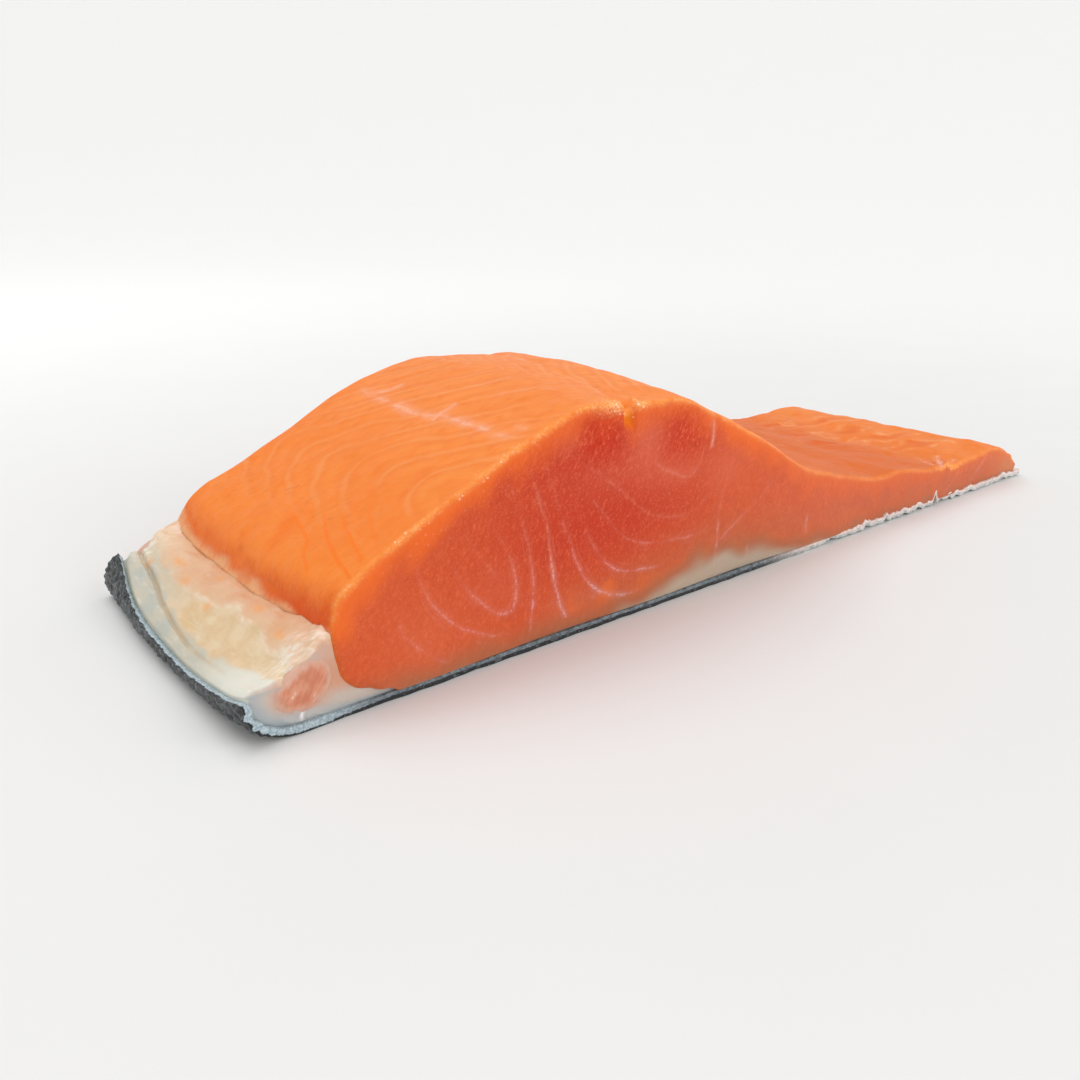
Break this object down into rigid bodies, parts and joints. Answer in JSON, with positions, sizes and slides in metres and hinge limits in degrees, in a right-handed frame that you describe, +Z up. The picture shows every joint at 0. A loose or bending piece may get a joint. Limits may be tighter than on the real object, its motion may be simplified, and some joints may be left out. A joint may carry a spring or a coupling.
{
  "type": "raw salmon fillet",
  "caption": "Raw salmon fillet block cut across a skin-on side: thick orange hump, thin belly flap, pale strip of back fat and scaly dark skin underneath.",
  "frame": {"origin": "under the middle of the block, on the surface it lies on", "axes": "+X from the back of the fish to its belly, along the front cut; +Y from the front cut to the far cut; +Z up"},
  "size_m": [0.2302, 0.0686, 0.0417],
  "materials": {
    "flesh": "wet",
    "fat": "wet",
    "fin_muscle": "wet",
    "skin": "wet, scaly"
  },
  "bodies": {
    "root": {"flesh": "flesh", "fat": "fat", "fin_muscle": "fin_muscle", "skin": "skin"}
  },
  "joints": []
}
